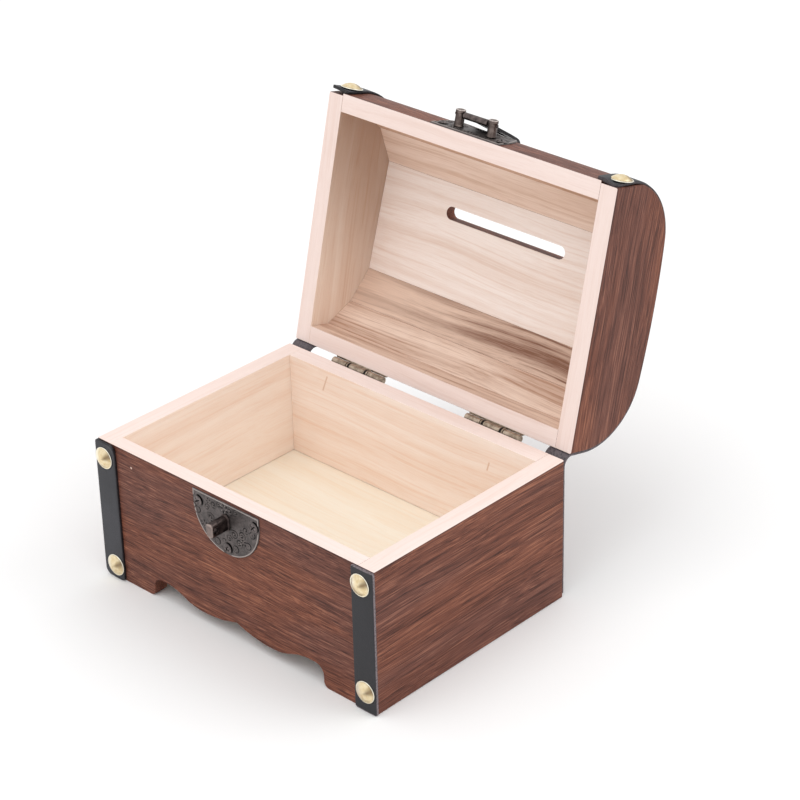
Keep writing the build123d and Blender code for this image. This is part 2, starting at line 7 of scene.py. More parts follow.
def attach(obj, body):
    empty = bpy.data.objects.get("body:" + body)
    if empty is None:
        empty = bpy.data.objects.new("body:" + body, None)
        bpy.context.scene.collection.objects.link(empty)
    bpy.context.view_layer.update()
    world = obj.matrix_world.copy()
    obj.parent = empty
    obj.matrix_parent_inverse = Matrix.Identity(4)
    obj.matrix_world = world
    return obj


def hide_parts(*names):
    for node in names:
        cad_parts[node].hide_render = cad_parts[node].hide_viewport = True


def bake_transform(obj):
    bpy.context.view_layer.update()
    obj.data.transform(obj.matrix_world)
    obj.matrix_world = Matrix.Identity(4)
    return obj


# The looks of a small wooden treasure chest. The frame is in metres; pieces here are drawn in millimetres.
# Places on the lid are given with the lid shut, and opened() swings them to where the lid stands.
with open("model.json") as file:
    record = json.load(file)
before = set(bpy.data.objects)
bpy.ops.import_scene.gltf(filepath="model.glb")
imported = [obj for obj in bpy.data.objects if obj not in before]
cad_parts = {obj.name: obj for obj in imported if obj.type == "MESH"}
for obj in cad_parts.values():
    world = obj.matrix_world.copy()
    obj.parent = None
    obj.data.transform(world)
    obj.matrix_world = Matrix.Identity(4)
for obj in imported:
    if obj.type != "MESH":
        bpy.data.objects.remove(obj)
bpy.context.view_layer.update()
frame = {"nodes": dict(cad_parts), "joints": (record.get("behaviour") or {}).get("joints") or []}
nodes = frame["nodes"]
joints = {joint["name"]: joint for joint in frame["joints"]}

MM = 0.001

# Lid hinge and the angle at which the lid stands open
lid_joint = joints["lid_hinge"]
lid_angle = math.radians(lid_joint["range_deg"][1])
lid_pivot = Vector(lid_joint["pos_m"])
swing = Matrix.Translation(lid_pivot) @ Matrix.Rotation(-lid_angle, 4, "X") @ Matrix.Translation(-lid_pivot)
unswing = swing.inverted()


def opened(point):
    """A place in millimetres on the shut lid, swung to where the lid stands."""
    return (swing @ (Vector(point) * MM)) / MM


def opened_way(way):
    """A direction on the shut lid, swung to where the lid stands."""
    return swing.to_3x3() @ Vector(way)


def span_of(points):
    """The lowest and the highest corner round some points."""
    low = Vector([min(point[axis] for point in points) for axis in range(3)])
    high = Vector([max(point[axis] for point in points) for axis in range(3)])
    return low, high


def box_of(name):
    """A node's lowest and highest corner in millimetres."""
    piece = nodes[name]
    return span_of([piece.matrix_world @ vertex.co / MM for vertex in piece.data.vertices])


def shut_box_of(name):
    """A lid node's lowest and highest corner in millimetres, with the lid shut."""
    piece = nodes[name]
    return span_of([unswing @ (piece.matrix_world @ vertex.co) / MM for vertex in piece.data.vertices])


# Sizes read from the frame, in millimetres
end_low, end_high = box_of("base_right_end")
front_face = end_low.y
back_face = end_high.y
rim_height = end_high.z
lid_end_low, lid_end_high = shut_box_of("lid_right_end")
lid_rim = lid_end_low.z
lid_top = lid_end_high.z
lid_front_face = shut_box_of("lid_front_board")[0].y
front_strap_low, front_strap_high = box_of("base_front_strap_right")
long_strap_low, long_strap_high = box_of("base_back_strap_right")
strap_thickness = front_face - front_strap_low.y

# The lid's outline: two shoulder arcs that meet one long crown arc
shoulder_radius = 28.0
crown_radius = 330.0
lid_middle = (lid_front_face + back_face) / 2
shoulder_reach = (back_face - lid_front_face) / 2 - shoulder_radius
crown_centre = lid_top - crown_radius
shoulder_rise = math.sqrt((crown_radius - shoulder_radius) ** 2 - shoulder_reach ** 2)
shoulder_centre = crown_centre + shoulder_rise
shoulder_slope = math.atan2(shoulder_rise, shoulder_reach)


def srgb(red, green, blue):
    """A colour given as 0 to 255 display values, as the linear colour a shader needs."""
    linear = []
    for value in (red, green, blue):
        share = value / 255
        linear.append(share / 12.92 if share <= 0.04045 else ((share + 0.055) / 1.055) ** 2.4)
    return (*linear, 1.0)


class Graph:
    """A node tree and short calls that add nodes to it."""

    def __init__(self, tree):
        self.tree = tree
        self.tree.nodes.clear()

    def node(self, kind, inputs=None, **settings):
        made = self.tree.nodes.new(kind)
        for key, value in settings.items():
            setattr(made, key, value)
        for key, value in (inputs or {}).items():
            if isinstance(value, bpy.types.NodeSocket):
                self.tree.links.new(value, made.inputs[key])
            else:
                made.inputs[key].default_value = value
        return made

    def math(self, operation, first, second=0.0, clamp=False):
        made = self.node("ShaderNodeMath", {0: first, 1: second}, operation=operation, use_clamp=clamp)
        return made.outputs[0]

    def plus(self, first, second, clamp=False):
        return self.math("ADD", first, second, clamp)

    def minus(self, first, second):
        return self.math("SUBTRACT", first, second)

    def times(self, first, second):
        return self.math("MULTIPLY", first, second)

    def vector(self, operation, first, second=(0, 0, 0), output=0):
        made = self.node("ShaderNodeVectorMath", {0: first, 1: second}, operation=operation)
        return made.outputs[output]

    def split(self, vector):
        return self.node("ShaderNodeSeparateXYZ", {0: vector}).outputs

    def smooth(self, value, low, high):
        """0 below low, 1 above high, and a smooth step between."""
        inputs = {"Value": value, "From Min": low, "From Max": high}
        made = self.node("ShaderNodeMapRange", inputs, interpolation_type="SMOOTHSTEP")
        return made.outputs["Result"]

    def spread(self, value, low, high):
        """A value from 0 to 1 spread over low to high."""
        made = self.node("ShaderNodeMapRange", {"Value": value, "To Min": low, "To Max": high})
        return made.outputs["Result"]

    def mix(self, share, first, second, blend="MIX"):
        inputs = {0: share, 6: first, 7: second}
        return self.node("ShaderNodeMix", inputs, data_type="RGBA", blend_type=blend).outputs[2]

    def noise(self, vector, detail=2.0, roughness=0.5, output="Fac"):
        inputs = {"Vector": vector, "Scale": 1.0, "Detail": detail, "Roughness": roughness}
        return self.node("ShaderNodeTexNoise", inputs).outputs[output]

    def grain(self, vector, lengthwise, crosswise, detail=2.0, roughness=0.5):
        """Noise drawn out along the first axis, by how often it changes in a millimetre."""
        drawn_out = self.vector("MULTIPLY", vector, (lengthwise, crosswise, crosswise))
        return self.noise(drawn_out, detail, roughness)

    def speckle(self, vector, scale, detail=2.0, roughness=0.5):
        """Noise that is alike in all directions."""
        return self.grain(vector, scale, scale, detail, roughness)

    def ramp(self, value, stops):
        """Colours at places from 0 to 1."""
        made = self.node("ShaderNodeValToRGB", {"Fac": value})
        elements = made.color_ramp.elements
        while len(elements) < len(stops):
            elements.new(0.5)
        for element, (place, colour) in zip(elements, stops):
            element.position = place
            element.color = colour
        return made.outputs["Color"]

    def drawn(self, name):
        """A value that was written on the mesh's points."""
        return self.node("ShaderNodeAttribute", attribute_name=name).outputs["Fac"]

    def finish(self, colour, roughness, height=None, bump=0.1, **settings):
        """The surface shader, with its bump in millimetres from a height between 0 and 1."""
        inputs = {"Base Color": colour, "Roughness": roughness}
        inputs.update({key.replace("_", " "): value for key, value in settings.items()})
        if height is not None:
            pressed = self.node("ShaderNodeBump", {"Height": height, "Distance": bump * MM})
            inputs["Normal"] = pressed.outputs[0]
        shader = self.node("ShaderNodeBsdfPrincipled", inputs)
        self.node("ShaderNodeOutputMaterial", {"Surface": shader.outputs[0]})


def placed(name, data):
    """An object for some data, put in the scene."""
    made = bpy.data.objects.new(name, data)
    bpy.context.scene.collection.objects.link(made)
    return made


def new_material(name):
    """A material and the graph that fills it."""
    material = bpy.data.materials.new(name)
    material.use_nodes = True
    return material, Graph(material.node_tree)


def place_of(graph, on_lid):
    """Position in millimetres and the surface's direction, both as with the lid shut."""
    source = graph.node("ShaderNodeTexCoord")
    place, facing = source.outputs["Object"], source.outputs["Normal"]
    if on_lid:
        turn = {"Vector": place, "Center": lid_pivot, "Angle": lid_angle}
        place = graph.node("ShaderNodeVectorRotate", turn, rotation_type="X_AXIS").outputs[0]
        turn = {"Vector": facing, "Angle": lid_angle}
        facing = graph.node("ShaderNodeVectorRotate", turn, rotation_type="X_AXIS").outputs[0]
    place = graph.vector("MULTIPLY", place, (1 / MM, 1 / MM, 1 / MM))
    return place, facing


def along_grain(graph, place, way, seed):
    """The place with the grain along its first axis, moved so that no two boards are alike."""
    if way != "X":
        parts = graph.split(place)
        order = {"Y": (1, 0, 2), "Z": (2, 0, 1)}[way]
        inputs = {slot: parts[axis] for slot, axis in enumerate(order)}
        place = graph.node("ShaderNodeCombineXYZ", inputs).outputs[0]
    place = graph.vector("ADD", place, (seed * 173.0, seed * 31.7, seed * 57.1))
    slow = graph.noise(graph.vector("MULTIPLY", place, (0.012, 0.03, 0.03)), 1.0, 0.5, "Color")
    sway = graph.vector("MULTIPLY", graph.vector("SUBTRACT", slow, (0.5, 0.5, 0.5)), (0, 7, 7))
    return graph.vector("ADD", place, sway)


def stained_look(graph, grain_place, straightness):
    """Colour and height of the dark red stain over a grain that is drawn out by its straightness."""
    grain_place = graph.vector("MULTIPLY", grain_place, (1 / straightness, 1, 1))
    clouds = graph.grain(grain_place, 0.014, 0.05, 2.0)
    bands = graph.grain(grain_place, 0.018, 0.30, 2.0)
    streaks = graph.grain(grain_place, 0.075, 1.8, 3.0, 0.65)
    fine = graph.grain(grain_place, 0.16, 3.8, 2.0, 0.6)
    total = graph.times(bands, 0.13)
    for layer, weight in ((streaks, 0.49), (fine, 0.38)):
        total = graph.plus(total, graph.times(layer, weight))
    red = graph.ramp(total, [
        (0.38, srgb(60, 36, 32)),
        (0.46, srgb(94, 58, 49)),
        (0.54, srgb(116, 73, 61)),
        (0.63, srgb(152, 104, 86))])
    orange = graph.ramp(total, [
        (0.38, srgb(66, 38, 30)),
        (0.46, srgb(104, 61, 48)),
        (0.54, srgb(130, 79, 61)),
        (0.63, srgb(166, 110, 84))])
    colour = graph.mix(graph.smooth(clouds, 0.40, 0.62), red, orange)
    pores = graph.smooth(graph.grain(grain_place, 0.30, 4.6, 1.0), 0.66, 0.72)
    colour = graph.mix(graph.times(pores, 0.55), colour, srgb(48, 28, 27))
    height = graph.minus(graph.times(fine, 0.6), graph.times(pores, 0.5))
    return colour, height


def raw_look(graph, grain_place, light, dark, figure):
    """Colour and height of bare wood: soft bands, thin straight year lines and fine fibres."""
    bands = graph.grain(grain_place, 0.006, 0.16, 2.0)
    lines = graph.grain(grain_place, 0.007, 0.75, 2.0, 0.4)
    fibres = graph.grain(grain_place, 0.09, 2.6, 3.0, 0.6)
    share = graph.times(graph.smooth(bands, 0.38, 0.66), 0.25 + 0.55 * figure)
    thin = graph.times(graph.smooth(lines, 0.52, 0.70), 0.30 + 0.25 * figure)
    share = graph.plus(share, thin)
    share = graph.plus(share, graph.times(graph.smooth(fibres, 0.40, 0.72), 0.32), clamp=True)
    return graph.mix(share, light, dark), fibres


def facing_share(graph, facing, direction):
    """1 where the surface faces a direction, 0 where it doesn't."""
    return graph.smooth(graph.vector("DOT_PRODUCT", facing, direction, output="Value"), 0.45, 0.6)


def line_share(graph, place, start, end, width):
    """1 on a short line between two places in X and Z, 0 away from it."""
    along = Vector(end) - Vector(start)
    parts = graph.split(place)
    away_x = graph.minus(parts[0], start[0])
    away_z = graph.minus(parts[2], start[1])
    reach = graph.times(away_x, along[0] / along.length_squared)
    reach = graph.plus(reach, graph.times(away_z, along[1] / along.length_squared), clamp=True)
    miss_x = graph.minus(away_x, graph.times(reach, along[0]))
    miss_z = graph.minus(away_z, graph.times(reach, along[1]))
    squares = graph.plus(graph.times(miss_x, miss_x), graph.times(miss_z, miss_z))
    return graph.minus(1.0, graph.smooth(squares, 0.2 * width ** 2, width ** 2))


def board_material(name, way, seed, on_lid, inner, look, raw_is_rest=False, marks=(), tint=None):
    """A board stained outside, with a bare inner face and a bare rim."""
    material, graph = new_material(name)
    place, facing = place_of(graph, on_lid)
    grain_place = along_grain(graph, place, way, seed)
    colour, height = stained_look(graph, grain_place, end_straightness if way == "Y" else front_straightness)
    bare, fibres = raw_look(graph, grain_place, *look)
    # A tint: painted shade on the lid's ends, paler wood on the upper back stave
    if tint:
        direction, start, end, tint_colour = tint
        reach = graph.vector("DOT_PRODUCT", place, direction, output="Value")
        toward = graph.smooth(reach, start, end)
        bare = graph.mix(graph.times(toward, 0.65), bare, tint_colour)
    inside = facing_share(graph, facing, inner)
    edge = facing_share(graph, facing, (0, 0, -1 if on_lid else 1))
    edge_height = lid_rim if on_lid else rim_height
    near_rim = graph.math("ABSOLUTE", graph.minus(graph.split(place)[2], edge_height))
    edge = graph.times(edge, graph.math("LESS_THAN", near_rim, rim_reach))
    if raw_is_rest:
        # Bare below, stained on top and in the coin slot
        upward = graph.split(facing)[2]
        inside = graph.smooth(graph.times(upward, -1.0), 0.4, 0.6)
    else:
        rim, _ = raw_look(graph, grain_place, *(lid_rim_look if on_lid else rim_look))
        # Darker in a thin band just below the rim
        rim_dark_band = graph.times(graph.minus(1.0, graph.smooth(near_rim, 0.3, 1.1)), 0.5)
        colour = graph.mix(rim_dark_band, colour, srgb(46, 27, 27))
        colour = graph.mix(edge, colour, rim)
    colour = graph.mix(inside, colour, bare)
    outside = graph.minus(1.0, inside)
    for start, end, width, mark_colour, on_inner in marks:
        share = graph.times(line_share(graph, place, start, end, width), inside if on_inner else outside)
        colour = graph.mix(share, colour, mark_colour)
    open_wood = graph.math("MAXIMUM", inside, edge)
    roughness = graph.spread(open_wood, 0.5, 0.66)
    height = graph.node("ShaderNodeMix", {0: open_wood, 2: height, 3: fibres}, data_type="FLOAT").outputs[0]
    graph.finish(colour, roughness, height, 0.10, Specular_IOR_Level=0.16)
    return material


# The end boards' streaks are longer than the front's
end_straightness = 2.6
front_straightness = 1.25
# How far below a board's rim its bare edge colour may reach
rim_reach = 1.5
# Each board's grain is moved by its own seed
top_stave_seed = 14
floor_seed = 21
# How far sharp edges are eased
board_ease = 0.2
floor_ease = 0.1
fitting_ease = 0.15
hinge_ease = 0.12
rim_look = (srgb(249, 231, 224), srgb(240, 216, 205), 0.15)
lid_rim_look = (srgb(245, 226, 219), srgb(234, 210, 200), 0.2)
wall_look = (srgb(254, 240, 229), srgb(245, 219, 201), 0.25)
back_wall_look = (srgb(254, 240, 230), srgb(243, 216, 197), 0.35)
lid_end_look = (srgb(254, 238, 224), srgb(236, 208, 187), 0.3)
# Painted shade on the lid's bare end faces, darker toward the front and top with the lid shut
lid_end_painted_shade = ((0, -0.7, 0.7), 36.0, 96.0, srgb(140, 102, 78))
back_upper_tint = ((1, 0, 0), 25.0, -62.0, srgb(230, 202, 183))
# The lid's front board and front staves are given darker bare faces: painted shade, as that edge stands
# uppermost with the lid open
front_board_look = (srgb(214, 180, 153), srgb(184, 146, 119), 0.4)
front_stave_look = (srgb(222, 190, 168), srgb(180, 143, 118), 0.5)
upper_stave_look = (srgb(244, 222, 208), srgb(214, 182, 160), 0.3)
top_stave_look = (srgb(252, 240, 233), srgb(234, 211, 197), 0.4)
back_upper_look = (srgb(228, 199, 180), srgb(132, 94, 76), 1.0)
back_lower_look = (srgb(240, 215, 198), srgb(184, 146, 124), 0.6)

scratch = srgb(228, 197, 176)
# Each mark: its start and end in X and Z, width, colour, and whether it is on the inner face
wall_marks = (
    ((-45.4, 59.6), (-48.1, 52.6), 0.45, scratch, True),
    ((43.2, 52.5), (42.1, 48.9), 0.45, scratch, True))
front_marks = (((-55.9, 55.7), (-55.7, 55.6), 0.5, srgb(226, 196, 180), False),)

# Tints say in which direction, from where to where, and toward which colour a board's bare face changes: on
# the lid's ends it is painted shade, darker toward the front and top with the lid shut, and on the upper back
# stave it is paler wood toward the left
tints = {"lid_left_end": lid_end_painted_shade, "lid_right_end": lid_end_painted_shade, "lid_back_upper_stave": back_upper_tint}

# Node, grain, inner direction with the lid shut, look of the inside, whether it is on the lid, and its marks
boards = (
    ("base_front_panel", "X", (0, 1, 0), wall_look, False, front_marks),
    ("base_back_panel", "X", (0, -1, 0), back_wall_look, False, wall_marks),
    ("base_left_end", "Y", (1, 0, 0), wall_look, False, ()),
    ("base_right_end", "Y", (-1, 0, 0), wall_look, False, ()),
    ("lid_left_end", "Y", (1, 0, 0), lid_end_look, True, ()),
    ("lid_right_end", "Y", (-1, 0, 0), lid_end_look, True, ()),
    ("lid_front_board", "X", (0, 1, 0), front_board_look, True, ()),
    ("lid_front_lower_stave", "X", (0, 0.7, -0.7), front_stave_look, True, ()),
    ("lid_front_upper_stave", "X", (0, 0.5, -0.86), upper_stave_look, True, ()),
    ("lid_back_upper_stave", "X", (0, -0.5, -0.86), back_upper_look, True, ()),
    ("lid_back_lower_stave", "X", (0, -0.86, -0.5), back_lower_look, True, ()),
    ("lid_back_board", "X", (0, -1, 0), back_lower_look, True, ()))


def soften(piece, width, segments=2):
    """Joins a frame piece's facets and eases its sharp edges."""
    piece.modifiers.new("Weld", "WELD").merge_threshold = 0.001 * MM
    flat = piece.modifiers.new("Flat", "DECIMATE")
    flat.decimate_type = "DISSOLVE"
    flat.angle_limit = math.radians(0.1)
    bevel = piece.modifiers.new("Bevel", "BEVEL")
    bevel.width = width * MM
    bevel.segments = segments
    bevel.limit_method = "ANGLE"
    bevel.angle_limit = math.radians(35)
    bevel.use_clamp_overlap = False
    normals = piece.modifiers.new("Normals", "WEIGHTED_NORMAL")
    normals.keep_sharp = False
    for face in piece.data.polygons:
        face.use_smooth = True


def paint(piece, material):
    """Gives a piece one material."""
    piece.data.materials.clear()
    piece.data.materials.append(material)


for number, (name, way, inner, look, on_lid, marks) in enumerate(boards):
    material = board_material(
        name + "_wood", way, number + 1, on_lid, inner, look, marks=marks, tint=tints.get(name))
    paint(nodes[name], material)
    soften(nodes[name], board_ease)
paint(nodes["lid_top_stave"], board_material(
    "lid_top_stave_wood", "X", top_stave_seed, True, (0, 0, 1), top_stave_look, raw_is_rest=True))
soften(nodes["lid_top_stave"], board_ease)


def floor_material():
    """The thin raw plywood of the floor panel."""
    material, graph = new_material("base_floor_panel_ply")
    place, _ = place_of(graph, False)
    grain_place = along_grain(graph, place, "X", floor_seed)
    colour, fibres = raw_look(graph, grain_place, srgb(249, 242, 227), srgb(245, 229, 206), 0.15)
    graph.finish(colour, 0.6, fibres, 0.06, Specular_IOR_Level=0.16)
    return material


paint(nodes["base_floor_panel"], floor_material())
soften(nodes["base_floor_panel"], floor_ease)


def metal_graph(name, dark, light, on_lid=False):
    """The start of an aged metal: its place, its two tones mottled together, and the mottling."""
    material, graph = new_material(name)
    place, _ = place_of(graph, on_lid)
    spots = graph.speckle(place, 0.5, 3.0, 0.6)
    return material, graph, place, graph.mix(graph.smooth(spots, 0.34, 0.66), dark, light), spots


def metal_finish(graph, place, colour, spots, roughness, metallic=1.0):
    """The end of an aged metal: a fine grit and an uneven shine."""
    grit = graph.speckle(place, 4)
    shine = graph.spread(spots, roughness - 0.06, roughness + 0.08)
    graph.finish(colour, shine, grit, 0.015, Metallic=metallic)


def hasp_material():
    """Dark grey-brown at the rolled barrel and nearly black along the tongue."""
    material, graph, place, colour, spots = metal_graph(
        "hasp_metal", srgb(78, 70, 69), srgb(112, 101, 98), True)
    tongue = graph.smooth(graph.split(place)[2], tongue_start, tongue_start + 2.0)
    colour = graph.mix(tongue, colour, srgb(40, 37, 39))
    metal_finish(graph, place, colour, spots, 0.34)
    return material


def post_material():
    """The lock post, with a painted highlight round the edge of its tip, weaker toward its middle."""
    material, graph, place, colour, spots = metal_graph("post_metal", srgb(62, 54, 53), srgb(100, 88, 85))
    low, high = box_of("lock_post")
    from_tip = graph.minus(graph.split(place)[1], low.y)
    # Painted highlight round the tip, strongest toward its outer edges
    painted_rim_highlight = graph.minus(1.0, graph.smooth(from_tip, 0.05, 0.5))
    centred = graph.vector("SUBTRACT", place, (low + high) / 2)
    half = ((high.x - low.x) / 2, 1.0, (high.z - low.z) / 2)
    reach = graph.split(graph.vector("ABSOLUTE", graph.vector("DIVIDE", centred, half)))
    outline = graph.smooth(graph.math("MAXIMUM", reach[0], reach[2]), post_outline_start, 0.98)
    painted_rim_highlight = graph.times(painted_rim_highlight, graph.spread(outline, 0.3, 0.9))
    colour = graph.mix(painted_rim_highlight, colour, srgb(190, 172, 164))
    metal_finish(graph, place, colour, spots, 0.36)
    return material


def hinge_material():
    """Dull brown-grey brass, with black painted shade on the knuckles round their ends, beside the gaps
    between them.
    """
    material, graph, place, colour, spots = metal_graph(
        "hinge_brass", srgb(136, 119, 103), srgb(184, 166, 148))
    from_hinge = graph.minus(graph.math("ABSOLUTE", graph.split(place)[0]), hinge_place)
    from_gap = graph.minus(graph.math("ABSOLUTE", from_hinge), knuckle_length / 2)
    away = graph.smooth(graph.math("ABSOLUTE", from_gap), 0.35, 0.75)
    from_pin = graph.vector("MULTIPLY", graph.vector("SUBTRACT", place, lid_pivot / MM), (0, 1, 1))
    radius = graph.vector("LENGTH", from_pin, output="Value")
    away = graph.math("MAXIMUM", away, graph.smooth(radius, knuckle_radius + 0.1, knuckle_radius + 0.4))
    # Black painted shade on the knuckles next to the gaps between them
    colour = graph.mix(away, srgb(20, 17, 15), colour)
    metal_finish(graph, place, colour, spots, 0.34, 0.85)
    return material


post_outline_start = 0.45
tongue_start = shut_box_of("hasp_pin")[1].z + 1.0
hinge_low, hinge_high = box_of("hinge_base_leaf_right")
hinge_place = (hinge_low.x + hinge_high.x) / 2
knuckle_length = (hinge_high.x - hinge_low.x) / 3
knuckle_radius = hinge_high.y - lid_pivot.y / MM
hasp_metal = hasp_material()
post_metal = post_material()
hinge_brass = hinge_material()

for name, material in (("hasp", hasp_metal), ("hasp_pin", hasp_metal), ("lock_post", post_metal)):
    paint(nodes[name], material)
    soften(nodes[name], fitting_ease)
for name in nodes:
    if name.startswith("hinge_"):
        paint(nodes[name], hinge_brass)
        soften(nodes[name], hinge_ease)


def make_piece(name, points, faces, material, values=None):
    """A smooth mesh piece from points in millimetres; values are written on its points by name."""
    mesh = bpy.data.meshes.new(name)
    mesh.from_pydata([Vector(point) * MM for point in points], [], faces)
    for key, numbers in (values or {}).items():
        mesh.attributes.new(key, "FLOAT", "POINT").data.foreach_set("value", numbers)
    for face in mesh.polygons:
        face.use_smooth = True
    mesh.validate()
    piece = placed(name, mesh)
    paint(piece, material)
    return piece


def stand_for(piece, body, slot, *names):
    """Puts a piece on its body in place of the frame's own nodes."""
    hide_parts(*names)
    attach(piece, body)


def ring_faces(rows, across, closed=True):
    """Faces between rows of points that lie one after another."""
    faces = []
    steps = across if closed else across - 1
    for row in range(rows - 1):
        for step in range(steps):
            after = (step + 1) % across
            start = row * across
            faces.append((start + step, start + after, start + across + after, start + across + step))
    return faces


# Straps
strap_corner = 1.6
strap_roundness = 0.32
strap_crown = 0.12
strap_end_gap = 0.3

# The long straps go up the back, over in a soft fold, round the lid and down its front
fold_reach = 4.0
fold_radius = 4.6

# They are drawn thin over the dome, between two reaches from their front end
thin_from = 12.0
thin_until = 118.0
thin_lead_in = 10.0
thin_lead_out = 12.0
thinned_share = 0.45

# The left front strap curls at its inner top corner, by the reach from its end and from its middle
curl_length = 5.0
curl_reach = 5.5
curl_rise = 1.1

# The right long strap's end sags, from just inside its middle outward
sag_length = 16.0
sag_start = -1.0
sag_spread = 3.0
sag_depth = 1.0

# The left long strap's end lifts, most at its outer corner
lift_length = 9.0
lift_start = 2.0
lift_spread = 7.0
lift_least_share = 0.35


def clamped(value):
    """A value kept between 0 and 1."""
    return min(1.0, max(0.0, value))


def strap_section(half):
    """Points round a strap's section: how far across, how far out, and whether it is a cut edge."""
    section = [(-half, 0.0, 1.0), (-half, strap_thickness - strap_roundness, 1.0)]
    inner = half - strap_roundness
    for step in (1, 2, 3):
        turn = math.radians(30 * step)
        out = strap_thickness - strap_roundness * (1 - math.sin(turn))
        section.append((-inner - strap_roundness * math.cos(turn), out, 0.0))
    for step in range(1, 12):
        share = step / 12
        across = inner * (2 * share - 1)
        section.append((across, strap_thickness + strap_crown * math.sin(math.pi * share), 0.0))
    mirrored = [(-across, out, cut) for across, out, cut in reversed(section[:5])]
    return section + mirrored


def corner_inset(reach, corner):
    """How far a rounded end corner takes a strap's edge in, at a reach from the end."""
    if reach >= corner:
        return 0.0
    return corner - math.sqrt(corner ** 2 - (corner - reach) ** 2)


def even(reach):
    """A strap that is as thick all along."""
    return 1.0


def drawn_thin(reach):
    """A strap that is drawn thin over the dome, by the reach from its front end."""
    over = clamped((reach - thin_from) / thin_lead_in) * clamped((thin_until - reach) / thin_lead_out)
    return 1.0 - thinned_share * over


def strap_piece(name, middle, width, path, push, end_corners, thin):
    """A strap along a path of places and outward directions, with its ends' corners rounded."""
    lengths = [0.0]
    for (spot, _), (following, _) in zip(path, path[1:]):
        lengths.append(lengths[-1] + (following - spot).length)
    total = lengths[-1]
    count = len(strap_section(width / 2))
    points, cuts = [], []
    for (spot, outward), length in zip(path, lengths):
        edge = 1.0 if min(length, total - length) < 0.2 else 0.0
        for across, out, cut in strap_section(width / 2):
            side = 1 if across > 0 else -1
            first_corner, last_corner = end_corners[0::2] if side < 0 else end_corners[1::2]
            inset = max(corner_inset(length, first_corner), corner_inset(total - length, last_corner))
            across = across - side * inset * min(1.0, abs(across) / (width / 2 - inset))
            out = out * thin(total - length) + push(across, length, total)
            points.append(Vector((middle + across, spot.x + out * outward.x, spot.y + out * outward.y)))
            cuts.append(max(cut, edge))
    faces = ring_faces(len(path), count)
    faces.append(tuple(reversed(range(count))))
    faces.append(tuple(range(len(points) - count, len(points))))
    return make_piece(name, points, faces, leather, {"cut": cuts})


def straight(start, end, outward, step):
    """Places along a straight run in Y and Z, closer together near its ends."""
    start, end = Vector(start), Vector(end)
    length = (end - start).length
    count = max(2, round(length / step))
    reaches = [0.0, 0.15, 0.4, 0.8, 1.2, 1.7, 2.4]
    reaches = [reach for reach in reaches if reach < length / 3]
    middle = [length * place / count for place in range(1, count)]
    middle = [reach for reach in middle if reaches[-1] < reach < length - reaches[-1]]
    reaches = reaches + middle + [length - reach for reach in reversed(reaches)]
    return [(start.lerp(end, reach / length), Vector(outward)) for reach in reaches]


def arc(centre, radius, low, high, steps, outward=1):
    """Places along an arc in Y and Z between two angles in radians."""
    places = []
    for step in range(1, steps):
        angle = low + (high - low) * step / steps
        way = Vector((math.cos(angle), math.sin(angle)))
        places.append((Vector(centre) + radius * way, outward * way))
    return places


def strap_material():
    """Near-black leatherette: a fine pebbled grain on top; cut edges pale on the right-hand straps' front and
    at the fold, and darker elsewhere, which on the left-hand straps is painted shade.
    """
    material, graph = new_material("strap_leather")
    place, _ = place_of(graph, False)
    pebbles = graph.node("ShaderNodeTexVoronoi", {"Vector": place, "Scale": 1.6}).outputs["Distance"]
    clouds = graph.noise(graph.vector("MULTIPLY", place, (0.12, 0.12, 0.05)), 2.0)
    right = graph.smooth(graph.split(place)[0], -40, 40)
    colour = graph.mix(graph.smooth(clouds, 0.35, 0.65), srgb(54, 54, 58), srgb(66, 66, 71))
    colour = graph.mix(graph.times(right, 0.75), colour, srgb(36, 36, 39))
    colour = graph.mix(graph.times(graph.smooth(pebbles, 0.1, 0.6), 0.25), colour, srgb(40, 40, 43))
    ragged = graph.smooth(graph.speckle(place, 1.3), 0.36, 0.56)
    cut = graph.times(graph.drawn("cut"), graph.spread(ragged, 0.35, 0.9))
    spot = graph.split(place)
    behind = graph.smooth(spot[1], back_face - 0.5, back_face + 0.5)
    fold = graph.times(behind, graph.math("LESS_THAN", spot[2], lid_rim + fold_reach))
    pale = graph.times(right, graph.spread(behind, 1.0, 0.25))
    pale = graph.math("MAXIMUM", pale, graph.times(fold, 0.6))
    # Cut edges: pale where the pale share is 1 and near black where it is 0, which on the left-hand straps is
    # painted shade
    colour = graph.mix(cut, colour, graph.mix(pale, srgb(34, 31, 33), srgb(132, 120, 124)))
    graph.finish(colour, graph.spread(clouds, 0.44, 0.56), pebbles, 0.03, Specular_IOR_Level=0.3)
    return material


leather = strap_material()


def flat_push(across, length, total):
    """A strap that lies flat all along."""
    return 0.0


def curled_push(across, length, total):
    """The left front strap stands off a little at its inner top corner."""
    near = max(0.0, 1 - (total - length) / curl_length) * max(0.0, across / curl_reach)
    return curl_rise * near ** 2


def front_strap(name, side, push, corners):
    """The strap down one front corner of the box."""
    low, high = front_strap_low, front_strap_high
    middle = side * (low.x + high.x) / 2
    path = straight((front_face, low.z), (front_face, high.z), (-1, 0), 4.0)
    piece = strap_piece(name, middle, high.x - low.x, path, push, corners, even)
    stand_for(piece, "base", "strap_leather", name.replace("_leather", ""))


# Rounded corners in millimetres: low left, low right, high left, high right
front_strap("base_front_strap_left_leather", -1, curled_push, (3.0, 1.0, 1.2, 1.6))
front_strap("base_front_strap_right_leather", 1, flat_push, (0.8, 0.5, 0.8, 0.8))


